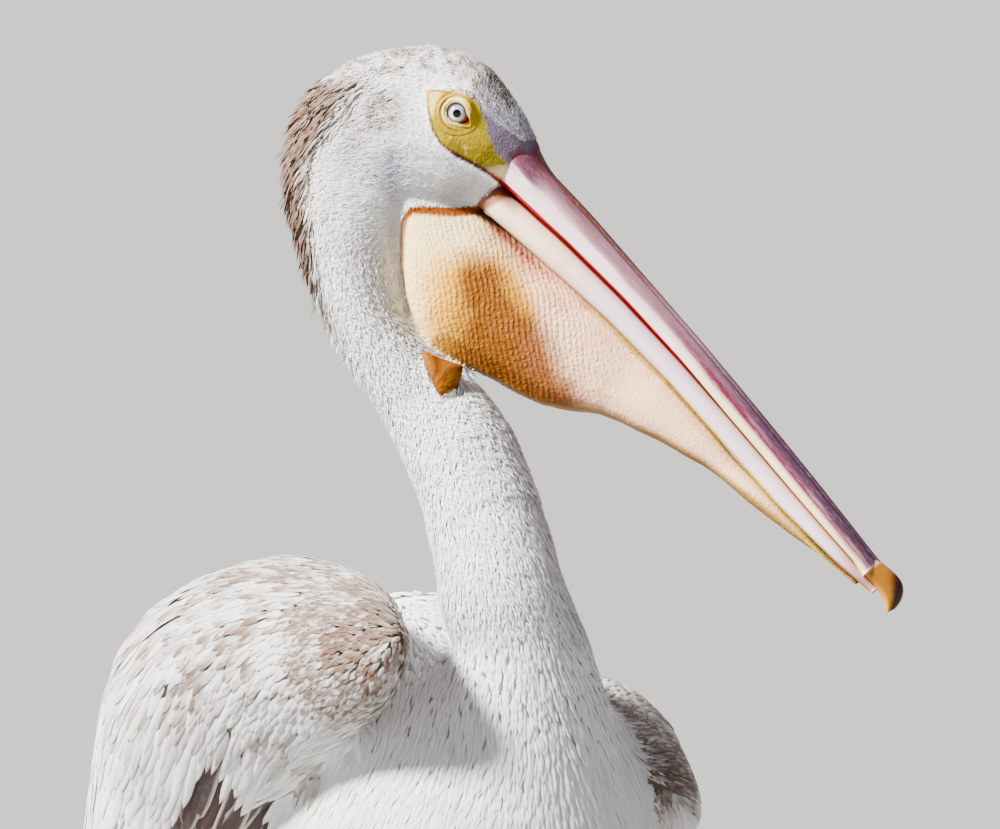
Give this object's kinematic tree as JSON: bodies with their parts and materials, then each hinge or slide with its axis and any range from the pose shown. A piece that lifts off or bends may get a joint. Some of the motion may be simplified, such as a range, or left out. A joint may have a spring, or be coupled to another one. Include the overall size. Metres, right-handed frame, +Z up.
{
  "type": "american white pelican model",
  "caption": "Life-size still model of a standing American white pelican, wings folded, neck raised, head turned to its left with the long pouched bill pointing down.",
  "frame": {"origin": "middle of the bounding box on the floor that the feet stand on", "axes": "+Z up, the body faces -Y, the bird's right side is -X"},
  "size_m": [0.3862, 0.7106, 0.9327],
  "materials": {
    "plumage": "soft white feathers with taupe-brown streaks on crown, nape and wing",
    "brown_plumage": "white feathers mottled and streaked taupe-brown",
    "flight_feather": "dark brown-black flight feathers with pale edges",
    "bill_horn": "satin horn, pink-mauve to cream, with fine lengthwise streaks",
    "nail_horn": "orange-yellow horn with a maroon edge",
    "pouch_skin": "finely wrinkled bare skin, cream to deep orange",
    "leg_skin": "scaly orange-yellow skin",
    "claw_horn": "brown horn",
    "eye": "wet cornea over a pale blue-grey iris and a black pupil"
  },
  "bodies": {
    "root": {"head": "plumage", "neck_upper": "plumage", "neck_middle": "plumage", "neck_lower": "plumage", "trunk": "plumage", "tail": "plumage", "thigh_left": "plumage", "thigh_right": "plumage", "wing_left_vanes": "plumage", "wing_right_vanes": "plumage", "wing_left_arm": "brown_plumage", "wing_right_arm": "brown_plumage", "wing_left_primaries": "flight_feather", "wing_right_primaries": "flight_feather", "upper_bill": "bill_horn", "lower_bill": "bill_horn", "bill_nail": "nail_horn", "pouch": "pouch_skin", "gular_lobe": "pouch_skin", "shank_left": "leg_skin", "shank_right": "leg_skin", "foot_left": "leg_skin", "foot_right": "leg_skin", "claw_left_hind": "claw_horn", "claw_left_inner": "claw_horn", "claw_left_middle": "claw_horn", "claw_left_outer": "claw_horn", "claw_right_hind": "claw_horn", "claw_right_inner": "claw_horn", "claw_right_middle": "claw_horn", "claw_right_outer": "claw_horn", "eye_left": "eye", "eye_right": "eye"}
  },
  "joints": []
}
